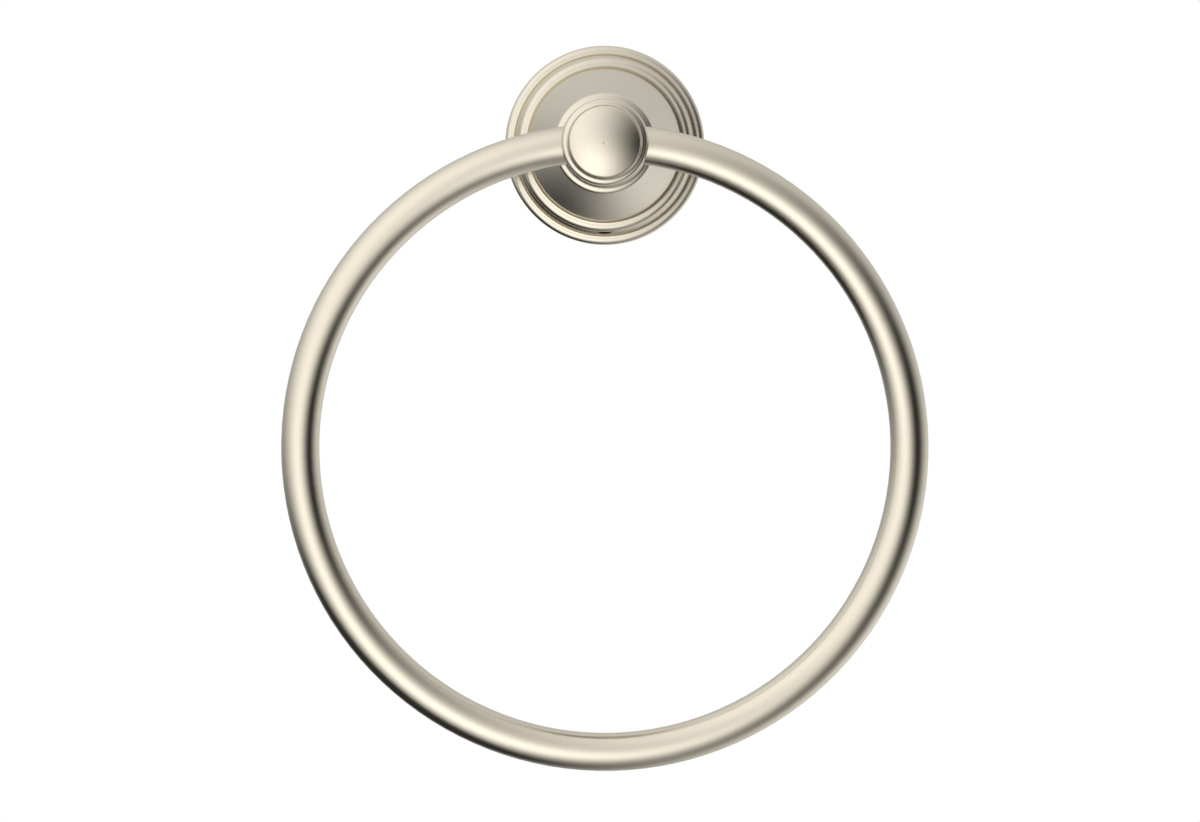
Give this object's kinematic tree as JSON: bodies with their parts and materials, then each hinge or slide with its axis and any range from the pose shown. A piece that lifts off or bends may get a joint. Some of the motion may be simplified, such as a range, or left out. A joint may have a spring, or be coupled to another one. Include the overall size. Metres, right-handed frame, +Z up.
{
  "type": "towel ring",
  "caption": "Wall-mounted towel ring: a round metal ring swings from the head of a turned, bell-shaped post on a stepped round backplate.",
  "frame": {"origin": "centre of the two wall screws on the wall plane, which is also where the post's axis meets the wall", "axes": "+Z up along the wall, +Y into the wall along the post's axis, so that the object stands out of the wall towards -Y, and +X to the viewer's right"},
  "size_m": [0.1636, 0.0527, 0.1842],
  "materials": {
    "brushed_nickel": "satin nickel plate over turned brass, brushed round the axis",
    "bracket_steel": "plain zinc-plated steel",
    "screw_steel": "plain steel"
  },
  "bodies": {
    "fixture": {"wall_bracket": "bracket_steel", "backplate": "brushed_nickel", "post": "brushed_nickel", "front_cap": "brushed_nickel", "set_screw": "screw_steel", "post_screw": "screw_steel", "post_washer": "screw_steel"},
    "swinging_ring": {"ring": "brushed_nickel", "pivot_pin": "screw_steel"}
  },
  "joints": [
    {"name": "ring_swing", "type": "hinge", "parent": "fixture", "child": "swinging_ring", "pos_m": [0, -0.03878, 0], "axis": [-1, 0, 0], "range_deg": [-12, 192]}
  ]
}
